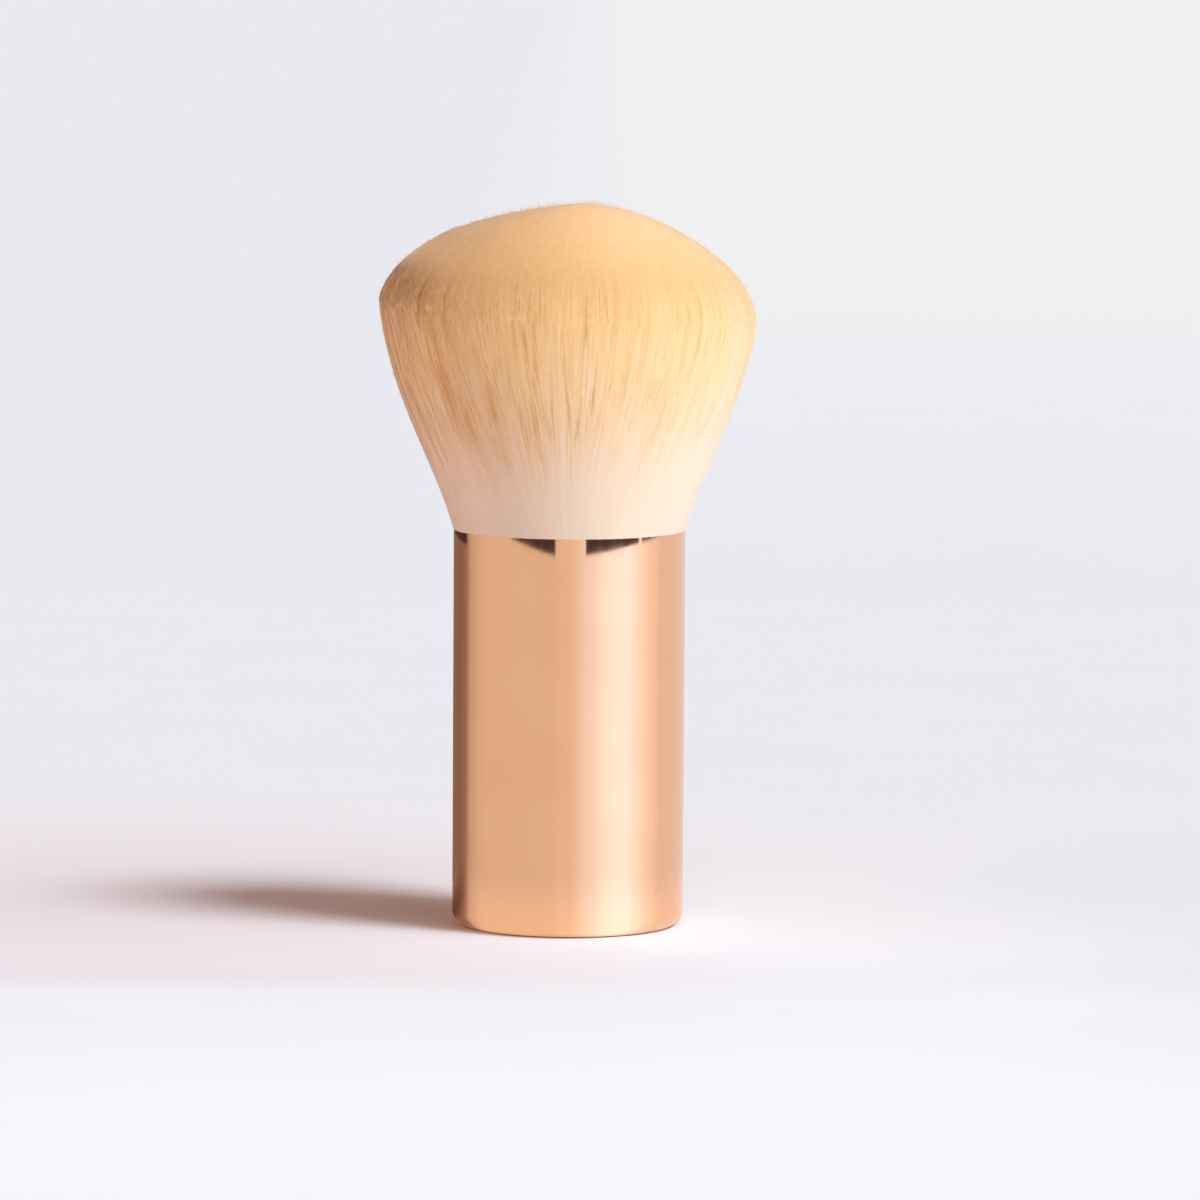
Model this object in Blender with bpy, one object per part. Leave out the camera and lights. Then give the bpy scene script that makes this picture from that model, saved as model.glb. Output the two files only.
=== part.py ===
"""Buffing brush: a domed head of fine bristles, held in a short metal handle that stands on its base.

Units are metres and +Z is up. The origin is the middle of the base, on the surface that the brush
stands on. Every piece is turned about the brush's axis, apart from the core's pockets and the strands.
"""

import math
import random

import bmesh
import bpy

# The glue line, or the resting gap, between two neighbouring pieces
FIT_GAP = 0.0003
# How far a cutter runs past the wall that it cuts
OVERRUN = 0.0010

# Handle shell: a deep-drawn metal cup with a closed, round-edged base
HANDLE_RADIUS = 0.0150
HANDLE_HEIGHT = 0.0518
SHELL_WALL = 0.0005
SHELL_FLOOR = 0.0008
BASE_EDGE_RADIUS = 0.0018

# Ferrule cup: grips the root of the tuft, just below the shell's lip
CUP_DROP = 0.0025
CUP_GRIP = 0.0090
CUP_WALL = 0.00035
CUP_FLOOR = 0.0005
CUP_INNER_BEND_RADIUS = 0.0006

# Handle core: a moulded plastic liner with ribs, which carries the ferrule cup
CORE_WALL = 0.0015
CORE_ROOF = 0.0020
RIB_COUNT = 6
RIB_THICKNESS = 0.0012
HUB_BORE_RADIUS = 0.0026
HUB_WALL = 0.0014
SPIGOT_RADIUS = 0.0030

# Base weight: a steel disc on the shell's floor, inside the core's skirt
WEIGHT_HEIGHT = 0.0060
WEIGHT_CHAMFER = 0.0006
WEIGHT_BORE_RADIUS = 0.0020

# Root adhesive: the cured resin under the bristles
RESIN_HEIGHT = 0.0030

# Binding thread: drawn tight round the lower end of the bundle
BINDING_HEIGHT = 0.0022
BINDING_THICKNESS = 0.0006

# Bristle head: flares from over the lip to its shoulder, where it is widest, with a dome above
HEAD_RADIUS = 0.0244
SHOULDER_RISE = 0.0281
DOME_RISE = 0.0142
DOME_POWER = 0.55
FLARE_SLOPE_AT_LIP = 0.28
FLARE_SLOPE_AT_SHOULDER = 0.10

# Strands: each stands for a lock of filaments. Ring 0 is one strand, and ring k holds 6 k of them.
RING_COUNT = 10
RINGS_OF_INNER = range(0, 5)
RINGS_OF_MIDDLE = range(5, 8)
RINGS_OF_OUTER = range(8, RING_COUNT + 1)
STRANDS_PER_RING_STEP = 6
LAST_STRAIGHT_RING = 8
STRAND_LEDGE = 0.0001
TIP_RISE = 0.0005
TIP_RAGGEDNESS = 0.0005
INNER_BEND_SHARES = (0.64,)
RIM_BEND_SHARES = (0.05, 0.42, 0.76)
RING_TURN_SHARE = 0.38

# Facets
SHELL_SIDES = 96
HIDDEN_SIDES = 48
BUNDLE_SIDES = 36
BASE_EDGE_STEPS = 5
LIP_STEPS = 3
SMALL_ARC_STEPS = 2
POCKET_ARC_STEPS = 6
SMOOTH_ANGLE = math.radians(40)

# Radii, from the shell inwards. A flat radius is that of the middle of a facet.
SHELL_BORE = HANDLE_RADIUS - SHELL_WALL
INNER_CORNER_RADIUS = BASE_EDGE_RADIUS - SHELL_WALL
CORE_RADIUS = SHELL_BORE - FIT_GAP
CORE_BORE = CORE_RADIUS - CORE_WALL
HUB_RADIUS = HUB_BORE_RADIUS + HUB_WALL
WEIGHT_RADIUS = CORE_BORE - FIT_GAP
CUP_RADIUS = SHELL_BORE - FIT_GAP
CUP_BORE = CUP_RADIUS - CUP_WALL
CUP_HOLE_RADIUS = SPIGOT_RADIUS + FIT_GAP
CUP_BEND_RADIUS = CUP_INNER_BEND_RADIUS + CUP_WALL
BUNDLE_RADIUS = CUP_BORE - FIT_GAP
NECK_RADIUS = BUNDLE_RADIUS - BINDING_THICKNESS - FIT_GAP
MOUTH_RADIUS = SHELL_BORE - FIT_GAP
MOUTH_FLAT_RADIUS = MOUTH_RADIUS * math.cos(math.pi / BUNDLE_SIDES)
ROOT_RADIUS = MOUTH_FLAT_RADIUS - STRAND_LEDGE

# Heights, from the lip downwards and from the base upwards
BUNDLE_TOP = HANDLE_HEIGHT - FIT_GAP
CUP_TOP = HANDLE_HEIGHT - CUP_DROP
MOUTH_BASE = CUP_TOP + FIT_GAP
BUNDLE_BASE = CUP_TOP - CUP_GRIP
BINDING_BASE = BUNDLE_BASE + FIT_GAP
RESIN_BASE = BUNDLE_BASE - FIT_GAP - RESIN_HEIGHT
CUP_BASE = RESIN_BASE - FIT_GAP - CUP_FLOOR
CORE_TOP = CUP_BASE - FIT_GAP
CORE_BASE = SHELL_FLOOR + FIT_GAP
WEIGHT_BASE = SHELL_FLOOR + FIT_GAP
SHOULDER_HEIGHT = HANDLE_HEIGHT + SHOULDER_RISE

# The strands keep this far from each other, and stand clear of the edges of their slices
STRAND_GAP = FIT_GAP + 2 * STRAND_LEDGE


def clear_scene():
    """Removes whatever the startup scene holds."""
    for old in list(bpy.data.objects):
        bpy.data.objects.remove(old, do_unlink=True)


def make_material(name, colour, roughness, metallic=0.0):
    """A plain Principled material, with its colour also set for the solid viewport."""
    material = bpy.data.materials.new(name)
    material.use_nodes = True
    shader = material.node_tree.nodes["Principled BSDF"]
    shader.inputs["Base Color"].default_value = (*colour, 1.0)
    shader.inputs["Roughness"].default_value = roughness
    shader.inputs["Metallic"].default_value = metallic
    material.diffuse_color = (*colour, 1.0)
    return material


def arc(centre, radius, start_degrees, end_degrees, steps):
    """Points of an arc in the (radius, height) plane, both ends included."""
    points = []
    for step in range(steps + 1):
        angle = math.radians(start_degrees + (end_degrees - start_degrees) * step / steps)
        across = centre[0] + radius * math.cos(angle)
        up = centre[1] + radius * math.sin(angle)
        points.append((across, up))
    return points


def add_object(name, shape, material=None):
    """Makes an object from a bmesh. With no material it is a hidden tool for a Boolean."""
    bmesh.ops.recalc_face_normals(shape, faces=shape.faces)
    mesh = bpy.data.meshes.new(name)
    shape.to_mesh(mesh)
    shape.free()
    made = bpy.data.objects.new(name, mesh)
    bpy.context.scene.collection.objects.link(made)
    if material is None:
        made.hide_render = True
        made.display_type = "WIRE"
    else:
        mesh.materials.append(material)
        mesh.shade_smooth()
        mesh.set_sharp_from_angle(angle=SMOOTH_ANGLE)
    return made


def place(made, parent, height=0.0):
    """Stands a piece, modelled up from its own base, at its height on the brush's axis."""
    made.parent = parent
    made.location = (0.0, 0.0, height)


def turned(profile, sides, ring=False):
    """Turns a profile of (radius, height) points about +Z.

    A ring's profile closes on itself. Any other profile is a wall, from the rim of one flat end face
    to the rim of the other.
    """
    shape = bmesh.new()
    corners = [shape.verts.new((across, 0.0, up)) for across, up in profile]
    edges = [shape.edges.new(pair) for pair in zip(corners, corners[1:])]
    if ring:
        edges.append(shape.edges.new((corners[-1], corners[0])))
    bmesh.ops.spin(
        shape,
        geom=corners + edges,
        cent=(0.0, 0.0, 0.0),
        axis=(0.0, 0.0, 1.0),
        angle=math.tau,
        steps=sides,
        use_merge=True,
    )
    if not ring:
        bmesh.ops.holes_fill(shape, edges=shape.edges, sides=0)
    return shape


def extruded(outline, bottom, top):
    """A prism over an outline of (x, y) points."""
    shape = bmesh.new()
    corners = [shape.verts.new((x, y, bottom)) for x, y in outline]
    floor = shape.faces.new(corners)
    grown = bmesh.ops.extrude_face_region(shape, geom=[floor])
    raised = [item for item in grown["geom"] if isinstance(item, bmesh.types.BMVert)]
    bmesh.ops.translate(shape, verts=raised, vec=(0.0, 0.0, top - bottom))
    return shape


def add_boolean(made, operation, tool):
    """Cuts a tool from a piece, or joins it to the piece. The tool moves with the piece."""
    modifier = made.modifiers.new(operation.title() + "_" + tool.name, "BOOLEAN")
    modifier.operation = operation
    modifier.solver = "EXACT"
    modifier.object = tool
    tool.parent = made


def make_handle_shell(material):
    """The plated cup that a hand holds: floor, round base edge, straight wall and rolled lip."""
    base_edge = (HANDLE_RADIUS - BASE_EDGE_RADIUS, BASE_EDGE_RADIUS)
    lip_radius = SHELL_WALL / 2
    lip = (HANDLE_RADIUS - lip_radius, HANDLE_HEIGHT - lip_radius)
    corner = (SHELL_BORE - INNER_CORNER_RADIUS, SHELL_FLOOR + INNER_CORNER_RADIUS)
    profile = arc(base_edge, BASE_EDGE_RADIUS, -90, 0, BASE_EDGE_STEPS)
    profile += arc(lip, lip_radius, 0, 180, LIP_STEPS)
    profile += arc(corner, INNER_CORNER_RADIUS, 0, -90, SMALL_ARC_STEPS)
    return add_object("handle_shell", turned(profile, SHELL_SIDES), material)


def pocket_outline(middle_angle):
    """One hollow between two ribs, from the hub's wall to the skirt's wall."""
    outline = []
    for radius, direction in ((CORE_BORE, 1), (HUB_RADIUS, -1)):
        half_angle = math.pi / RIB_COUNT - math.asin(RIB_THICKNESS / 2 / radius)
        for step in range(POCKET_ARC_STEPS + 1):
            share = 2 * step / POCKET_ARC_STEPS - 1
            angle = middle_angle + direction * half_angle * share
            outline.append((radius * math.cos(angle), radius * math.sin(angle)))
    return outline


def make_handle_core(material):
    """The moulded liner: skirt, roof, hub, ribs, and a spigot that centres the ferrule cup."""
    height = CORE_TOP - CORE_BASE
    weight_room = WEIGHT_HEIGHT + FIT_GAP
    pocket_top = height - CORE_ROOF
    corner = (CORE_RADIUS - INNER_CORNER_RADIUS, INNER_CORNER_RADIUS)
    profile = arc(corner, INNER_CORNER_RADIUS, -90, 0, SMALL_ARC_STEPS)
    profile += [(CORE_RADIUS, height)]
    profile += [(SPIGOT_RADIUS, height)]
    profile += [(SPIGOT_RADIUS, height + FIT_GAP + CUP_FLOOR)]
    core = add_object("handle_core", turned(profile, HIDDEN_SIDES), material)

    weight_cut = turned([(CORE_BORE, -OVERRUN), (CORE_BORE, weight_room)], HIDDEN_SIDES)
    add_boolean(core, "DIFFERENCE", add_object("cut_weight_room", weight_cut))
    hub_cut = turned([(HUB_BORE_RADIUS, -OVERRUN), (HUB_BORE_RADIUS, pocket_top)], HIDDEN_SIDES)
    add_boolean(core, "DIFFERENCE", add_object("cut_hub_bore", hub_cut))
    for rib in range(RIB_COUNT):
        middle_angle = math.tau * (rib + 0.5) / RIB_COUNT
        pocket = extruded(pocket_outline(middle_angle), weight_room - OVERRUN, pocket_top)
        add_boolean(core, "DIFFERENCE", add_object(f"cut_pocket_{rib + 1}", pocket))
    return core


def make_base_weight(material):
    """A turned steel disc with chamfered edges and a bore."""
    rim = WEIGHT_RADIUS - WEIGHT_CHAMFER
    profile = [(WEIGHT_BORE_RADIUS, 0.0), (rim, 0.0), (WEIGHT_RADIUS, WEIGHT_CHAMFER)]
    profile += [(WEIGHT_RADIUS, WEIGHT_HEIGHT - WEIGHT_CHAMFER), (rim, WEIGHT_HEIGHT)]
    profile += [(WEIGHT_BORE_RADIUS, WEIGHT_HEIGHT)]
    return add_object("base_weight", turned(profile, HIDDEN_SIDES, ring=True), material)


def make_ferrule_cup(material):
    """A thin drawn cup with a hole in its floor for the core's spigot."""
    height = CUP_TOP - CUP_BASE
    outer_corner = (CUP_RADIUS - CUP_BEND_RADIUS, CUP_BEND_RADIUS)
    inner_corner = (CUP_BORE - CUP_INNER_BEND_RADIUS, CUP_FLOOR + CUP_INNER_BEND_RADIUS)
    profile = [(CUP_HOLE_RADIUS, 0.0)]
    profile += arc(outer_corner, CUP_BEND_RADIUS, -90, 0, SMALL_ARC_STEPS)
    profile += [(CUP_RADIUS, height), (CUP_BORE, height)]
    profile += arc(inner_corner, CUP_INNER_BEND_RADIUS, 0, -90, SMALL_ARC_STEPS)
    profile += [(CUP_HOLE_RADIUS, CUP_FLOOR)]
    return add_object("ferrule_cup", turned(profile, HIDDEN_SIDES, ring=True), material)


def make_root_adhesive(material):
    """The plug of cured resin between the cup's floor and the bundle."""
    corner = (BUNDLE_RADIUS - CUP_INNER_BEND_RADIUS, CUP_INNER_BEND_RADIUS)
    profile = arc(corner, CUP_INNER_BEND_RADIUS, -90, 0, SMALL_ARC_STEPS)
    profile += [(BUNDLE_RADIUS, RESIN_HEIGHT)]
    return add_object("root_adhesive", turned(profile, BUNDLE_SIDES), material)


def make_binding_thread(material):
    """The turns of thread round the bundle's neck, as one plain band, because the cup hides them."""
    inner = NECK_RADIUS + FIT_GAP
    rounding = BINDING_THICKNESS / 3
    edge = BUNDLE_RADIUS - rounding
    profile = [(inner, 0.0), (edge, 0.0), (BUNDLE_RADIUS, rounding)]
    profile += [(BUNDLE_RADIUS, BINDING_HEIGHT - rounding), (edge, BINDING_HEIGHT)]
    profile += [(inner, BINDING_HEIGHT)]
    return add_object("binding_thread", turned(profile, BUNDLE_SIDES, ring=True), material)


def head_radius_at(share):
    """Outer radius of the head, at a share of the way from the lip's edge up to the shoulder."""
    square, cube = share**2, share**3
    return (
        HANDLE_RADIUS * (2 * cube - 3 * square + 1)
        + FLARE_SLOPE_AT_LIP * SHOULDER_RISE * (cube - 2 * square + share)
        + HEAD_RADIUS * (3 * square - 2 * cube)
        + FLARE_SLOPE_AT_SHOULDER * SHOULDER_RISE * (cube - square)
    )


def dome_height_at(radius):
    """Height of the dome's surface at a distance from the axis."""
    share = min(1.0, radius / HEAD_RADIUS)
    return SHOULDER_HEIGHT + DOME_RISE * (1 - share**2) ** DOME_POWER


def ring_pitch(head_radius):
    """The step from ring to ring where the head is this wide. Half a gap lies past the last ring."""
    return (head_radius + STRAND_GAP / 2) / (RING_COUNT + 0.5)


def strand_section(ring, angle, head_radius):
    """Four (x, y) corners of a strand, where the head is this wide."""
    pitch = ring_pitch(head_radius)
    half_width = (pitch - STRAND_GAP) / 2
    if ring == 0:
        quarters = [math.tau * quarter / 4 for quarter in range(4)]
        return [(half_width * math.cos(turn), half_width * math.sin(turn)) for turn in quarters]
    corners = []
    for radius, sides in ((ring * pitch - half_width, (-1, 1)), (ring * pitch + half_width, (1, -1))):
        half_angle = math.pi / (STRANDS_PER_RING_STEP * ring) - STRAND_GAP / 2 / radius
        for side in sides:
            turn = angle + side * half_angle
            corners.append((radius * math.cos(turn), radius * math.sin(turn)))
    return corners


def bend_shares_of(ring):
    """Where a strand bends, as shares of the flare. The last ring spills over the lip, and it draws
    the head's outline.
    """
    if ring == RING_COUNT:
        return RIM_BEND_SHARES
    return INNER_BEND_SHARES if ring > LAST_STRAIGHT_RING else ()


def add_strand(shape, ring, angle, shortfall):
    """Adds one closed strand: its foot inside the bundle, its bends in the flare, and a pointed tip."""
    foot_height = (MOUTH_BASE + BUNDLE_TOP) / 2
    foot = strand_section(ring, angle, ROOT_RADIUS)
    levels = [[(x, y, foot_height) for x, y in foot], [(x, y, BUNDLE_TOP) for x, y in foot]]
    for share in bend_shares_of(ring):
        height = HANDLE_HEIGHT + share * SHOULDER_RISE
        bend = strand_section(ring, angle, head_radius_at(share))
        levels.append([(x, y, height) for x, y in bend])
    tip = strand_section(ring, angle, HEAD_RADIUS)
    levels.append([(x, y, dome_height_at(math.hypot(x, y)) - shortfall) for x, y in tip])

    loops = [[shape.verts.new(corner) for corner in level] for level in levels]
    shape.faces.new(reversed(loops[0]))
    for lower, upper in zip(loops, loops[1:]):
        for side in range(4):
            after = (side + 1) % 4
            shape.faces.new((lower[side], lower[after], upper[after], upper[side]))
    middle_x = sum(corner[0] for corner in tip) / 4
    middle_y = sum(corner[1] for corner in tip) / 4
    peak = dome_height_at(math.hypot(middle_x, middle_y)) + TIP_RISE - shortfall
    point = shape.verts.new((middle_x, middle_y, peak))
    for side in range(4):
        shape.faces.new((loops[-1][side], loops[-1][(side + 1) % 4], point))


def strands_of(rings):
    """All strands of some rings. The tips are ragged, in the same way in each sixth of the head."""
    shape = bmesh.new()
    for ring in rings:
        chance = random.Random(ring)
        shortfalls = [TIP_RAGGEDNESS * chance.random() for _ in range(max(1, ring))]
        count = max(1, STRANDS_PER_RING_STEP * ring)
        turn = math.tau * RING_TURN_SHARE * ring / STRANDS_PER_RING_STEP
        for index in range(count):
            angle = turn + math.tau * index / count
            add_strand(shape, ring, angle, shortfalls[index % len(shortfalls)])
    bmesh.ops.translate(shape, verts=shape.verts, vec=(0.0, 0.0, -BUNDLE_BASE))
    return shape


def make_bristles(name, rings, material):
    """Rings of strands on their slice of the bundle, which is packed solid inside the ferrule cup."""
    root_pitch = ring_pitch(ROOT_RADIUS)
    height = BUNDLE_TOP - BUNDLE_BASE
    if RING_COUNT in rings:
        neck_top = BINDING_HEIGHT + 2 * FIT_GAP
        shelf = MOUTH_BASE - BUNDLE_BASE
        profile = [(NECK_RADIUS, 0.0), (NECK_RADIUS, neck_top), (BUNDLE_RADIUS, neck_top)]
        profile += [(BUNDLE_RADIUS, shelf), (MOUTH_RADIUS, shelf), (MOUTH_RADIUS, height)]
    else:
        radius = root_pitch * (rings[-1] + 0.5) - FIT_GAP / 2
        profile = [(radius, 0.0), (radius, height)]
    bristles = add_object(name, turned(profile, BUNDLE_SIDES), material)
    if rings[0] > 0:
        bore = root_pitch * (rings[0] - 0.5) + FIT_GAP / 2
        cut = turned([(bore, -OVERRUN), (bore, height + OVERRUN)], BUNDLE_SIDES)
        add_boolean(bristles, "DIFFERENCE", add_object(f"cut_{name}_bore", cut))
    add_boolean(bristles, "UNION", add_object(f"strands_of_{name}", strands_of(rings)))
    return bristles


def main():
    clear_scene()
    rose_gold = make_material("rose_gold", (0.80, 0.52, 0.36), 0.16, 1.0)
    aluminium = make_material("raw_aluminium", (0.78, 0.78, 0.80), 0.35, 1.0)
    plastic = make_material("core_plastic", (0.82, 0.80, 0.76), 0.55)
    steel = make_material("weight_steel", (0.46, 0.47, 0.49), 0.40, 1.0)
    resin = make_material("cured_resin", (0.80, 0.66, 0.40), 0.30)
    thread = make_material("thread", (0.90, 0.88, 0.84), 0.85)
    cream = make_material("inner_bristles", (0.88, 0.62, 0.32), 0.65)
    honey = make_material("middle_bristles", (0.90, 0.66, 0.38), 0.65)
    pale = make_material("outer_bristles", (0.92, 0.72, 0.46), 0.65)

    brush = bpy.data.objects.new("buffing_brush", None)
    bpy.context.scene.collection.objects.link(brush)
    place(make_handle_shell(rose_gold), brush)
    place(make_handle_core(plastic), brush, CORE_BASE)
    place(make_base_weight(steel), brush, WEIGHT_BASE)
    place(make_ferrule_cup(aluminium), brush, CUP_BASE)
    place(make_root_adhesive(resin), brush, RESIN_BASE)
    place(make_binding_thread(thread), brush, BINDING_BASE)
    place(make_bristles("bristles_inner", RINGS_OF_INNER, cream), brush, BUNDLE_BASE)
    place(make_bristles("bristles_middle", RINGS_OF_MIDDLE, honey), brush, BUNDLE_BASE)
    place(make_bristles("bristles_outer", RINGS_OF_OUTER, pale), brush, BUNDLE_BASE)


main()
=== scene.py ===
"""Looks of a buffing brush: a polished rose-gold handle and a domed tuft of fine filaments.

Lengths are metres and +Z is up. The brush stands on its base at the origin. The camera looks along
+Y, a little downwards, and +X is to its right. A bearing is in degrees round the brush from the
camera's side, growing towards +X. An angle is in radians round it from +X, growing towards +Y. A
share runs from 0 to 1, and a span is the start and the length of a part of a run.
"""

import math

import bmesh
import bpy
import numpy as np
from mathutils import Matrix, Vector


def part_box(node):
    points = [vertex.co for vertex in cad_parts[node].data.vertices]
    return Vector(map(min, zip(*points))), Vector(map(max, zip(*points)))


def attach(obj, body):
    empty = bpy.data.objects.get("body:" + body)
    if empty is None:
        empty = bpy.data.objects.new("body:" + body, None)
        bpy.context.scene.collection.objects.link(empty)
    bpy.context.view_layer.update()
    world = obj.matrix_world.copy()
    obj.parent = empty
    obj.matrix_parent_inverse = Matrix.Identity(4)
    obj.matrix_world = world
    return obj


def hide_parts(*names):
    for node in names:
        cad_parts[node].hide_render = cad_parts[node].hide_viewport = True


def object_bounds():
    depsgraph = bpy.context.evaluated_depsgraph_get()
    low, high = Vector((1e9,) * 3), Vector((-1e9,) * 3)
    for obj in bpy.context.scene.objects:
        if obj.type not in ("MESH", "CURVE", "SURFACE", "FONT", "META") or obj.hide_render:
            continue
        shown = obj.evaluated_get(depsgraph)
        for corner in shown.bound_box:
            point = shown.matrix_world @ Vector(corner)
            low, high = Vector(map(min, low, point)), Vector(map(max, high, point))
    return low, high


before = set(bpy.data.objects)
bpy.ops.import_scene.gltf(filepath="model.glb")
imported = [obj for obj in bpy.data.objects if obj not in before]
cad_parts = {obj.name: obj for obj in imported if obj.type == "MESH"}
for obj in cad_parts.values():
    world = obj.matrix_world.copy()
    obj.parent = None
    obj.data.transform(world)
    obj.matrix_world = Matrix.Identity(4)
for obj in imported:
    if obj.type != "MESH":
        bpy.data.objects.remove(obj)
cad_low, cad_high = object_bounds()

TURN = math.tau

# The photograph: its focal length on a 36 mm sensor, and the place and aim of the camera
SENSOR_WIDTH_MM = 36.0
FOCAL_LENGTH_MM = 227.8
CAMERA_SIDE = 0.0040
CAMERA_DISTANCE = 0.980
CAMERA_HEIGHT = 0.141
AIM_HEIGHT = 0.04228
CAMERA_ROLL = math.radians(0.35)

# What the imported parts give
_, SHELL_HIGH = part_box("handle_shell")
TUFT_LOW, TUFT_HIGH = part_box("bristles_outer")
_, THREAD_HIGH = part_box("binding_thread")
_, CUP_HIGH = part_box("ferrule_cup")
HANDLE_RADIUS = SHELL_HIGH.x
LIP_HEIGHT = SHELL_HIGH.z
HEAD_RADIUS = TUFT_HIGH.x
APEX_HEIGHT = cad_high.z

# Handle shell, as drawn from sheet
SHELL_WALL = 0.0005
SHELL_FLOOR = 0.0008
BASE_EDGE_RADIUS = 0.0018
FIT_GAP = 0.0003

# The tuft's side flares from over the lip to a shoulder, and curls in past it. Its crown is a dome.
SHOULDER_RISE = 0.0281
LIP_SLOPE = 0.28
SHOULDER_SLOPE = 0.10
SPILL = -0.0001
DOME_WIDTH_POWER = 0.58
DOME_WIDTH_TILT = 0.095
DOME_RISE_POWER = 1.80
DOME_RISE_TILT = 0.20
HIGHEST_CLIMB = 0.999
APEX_DROP = 0.0009
APEX_LEAN = 0.0036
SHOULDER_TILT = 0.0014
HEAD_LEAN = 0.0004
LEFT_BULGE = 0.00038


def bearing_direction(bearing, elevation=0.0):
    """Unit vector from the brush towards a bearing and an elevation, both in degrees."""
    turn, rise = math.radians(bearing), math.radians(elevation)
    flat = math.cos(rise)
    return Vector((math.sin(turn) * flat, -math.cos(turn) * flat, math.sin(rise)))


def eased(value, start, length):
    """Eases numbers from 0 at the start of a span to 1 at its end, and holds them there."""
    held = np.clip((value - start) / length, 0.0, 1.0)
    return held * held * (3 - 2 * held)


def rgba(colour):
    """A colour as the sockets want it, from a grey level or three linear parts."""
    if isinstance(colour, (int, float)):
        return (colour, colour, colour, 1.0)
    return (*colour, 1.0)


def add_object(name, data):
    """Makes an object of a mesh, lamp or camera, in the scene."""
    made = bpy.data.objects.new(name, data)
    bpy.context.scene.collection.objects.link(made)
    return made


# Materials

# Nearly all of a noise node's values lie between these
NOISE_LOW = 0.3
NOISE_HIGH = 0.7


class Nodes:
    """A small helper that adds and links shader nodes of one material or world."""

    def __init__(self, owner):
        owner.use_nodes = True
        self.tree = owner.node_tree
        self.tree.nodes.clear()

    def add(self, kind, inputs=None, **settings):
        node = self.tree.nodes.new("ShaderNode" + kind)
        for name, value in settings.items():
            setattr(node, name, value)
        for name, value in (inputs or {}).items():
            self.set(node, name, value)
        return node

    def set(self, node, name, value):
        """Sets an input to a number or colour, or links it to an output."""
        if isinstance(value, bpy.types.NodeSocket):
            self.tree.links.new(value, node.inputs[name])
        elif isinstance(value, bpy.types.Node):
            self.tree.links.new(value.outputs[0], node.inputs[name])
        else:
            node.inputs[name].default_value = value

    def place(self):
        """The coordinates of a point of the object, in metres."""
        return self.add("TexCoord").outputs["Object"]

    def place_parts(self):
        """The X, Y and Z of a point of the object."""
        return self.add("SeparateXYZ", {"Vector": self.place()}).outputs

    def ramp(self, factor, stops, interpolation="LINEAR"):
        """A colour ramp over (position, colour) stops."""
        node = self.add("ValToRGB", {0: factor})
        node.color_ramp.interpolation = interpolation
        elements = node.color_ramp.elements
        while len(elements) > 1:
            elements.remove(elements[-1])
        for index, (position, colour) in enumerate(stops):
            element = elements[0] if index == 0 else elements.new(position)
            element.position = position
            element.color = rgba(colour)
        return node.outputs["Color"]

    def math(self, operation, first, second=0.0, clamp=False):
        node = self.add("Math", {0: first, 1: second}, operation=operation, use_clamp=clamp)
        return node.outputs["Value"]

    def multiply(self, first, second, clamp=False):
        return self.math("MULTIPLY", first, second, clamp)

    def remap(self, value, low, high, to_low=0.0, to_high=1.0, kind="LINEAR"):
        """Maps a range of values onto another, and holds what lies outside at its ends."""
        inputs = {"Value": value, "From Min": low, "From Max": high}
        inputs |= {"To Min": to_low, "To Max": to_high}
        return self.add("MapRange", inputs, interpolation_type=kind).outputs["Result"]

    def mix(self, factor, first, second, blend="MIX"):
        """Mixes two colours."""
        node = self.add("Mix", data_type="RGBA", blend_type=blend)
        self.set(node, 0, factor)
        self.set(node, 6, first)
        self.set(node, 7, second)
        return node.outputs[2]

    def tint(self, factor, colour, tint):
        """Multiplies a colour by a tint, as far as the factor goes."""
        return self.mix(factor, colour, self.mix(1.0, colour, rgba(tint), "MULTIPLY"))

    def noise(self, scale, detail=2.0, upwards=1.0, roughness=0.5, vector=None):
        """Noise over the object's own coordinates or a vector, drawn out upwards, round 0.5."""
        mapped = self.add("Mapping", {"Vector": vector or self.place(), "Scale": (1.0, 1.0, upwards)})
        inputs = {"Vector": mapped, "Scale": scale, "Detail": detail, "Roughness": roughness}
        return self.add("TexNoise", inputs).outputs["Fac"]

    def wave(self, scale, distortion, **settings):
        """Waves over the object's own coordinates, from 0 to 1."""
        inputs = {"Vector": self.place(), "Scale": scale, "Distortion": distortion}
        return self.add("TexWave", inputs, **settings).outputs["Fac"]

    def from_noise(self, noise, low, high):
        """Spreads noise over a range."""
        return self.remap(noise, NOISE_LOW, NOISE_HIGH, low, high)

    def noise_colour(self, noise, first, second):
        """Spreads noise over the colours between two."""
        return self.ramp(noise, ((NOISE_LOW, first), (NOISE_HIGH, second)))

    def bump(self, height, strength, distance, normal=None):
        node = self.add("Bump", {"Height": height, "Strength": strength, "Distance": distance})
        if normal is not None:
            self.set(node, "Normal", normal)
        return node.outputs["Normal"]

    def surface(self, shader):
        """Links a shader to the material's output."""
        self.set(self.add("OutputMaterial"), "Surface", shader)

    def principled(self, **inputs):
        """The material's shader, linked to its output. Names take underscores for spaces."""
        named = {name.replace("_", " "): value for name, value in inputs.items()}
        self.surface(self.add("BsdfPrincipled", named))

    def emission(self, colour, strength):
        return self.add("Emission", {"Color": colour, "Strength": strength})


def new_material(name, finish):
    """A new material, with the nodes that the finish adds."""
    material = bpy.data.materials.new(name)
    finish(Nodes(material))
    return material


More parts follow.
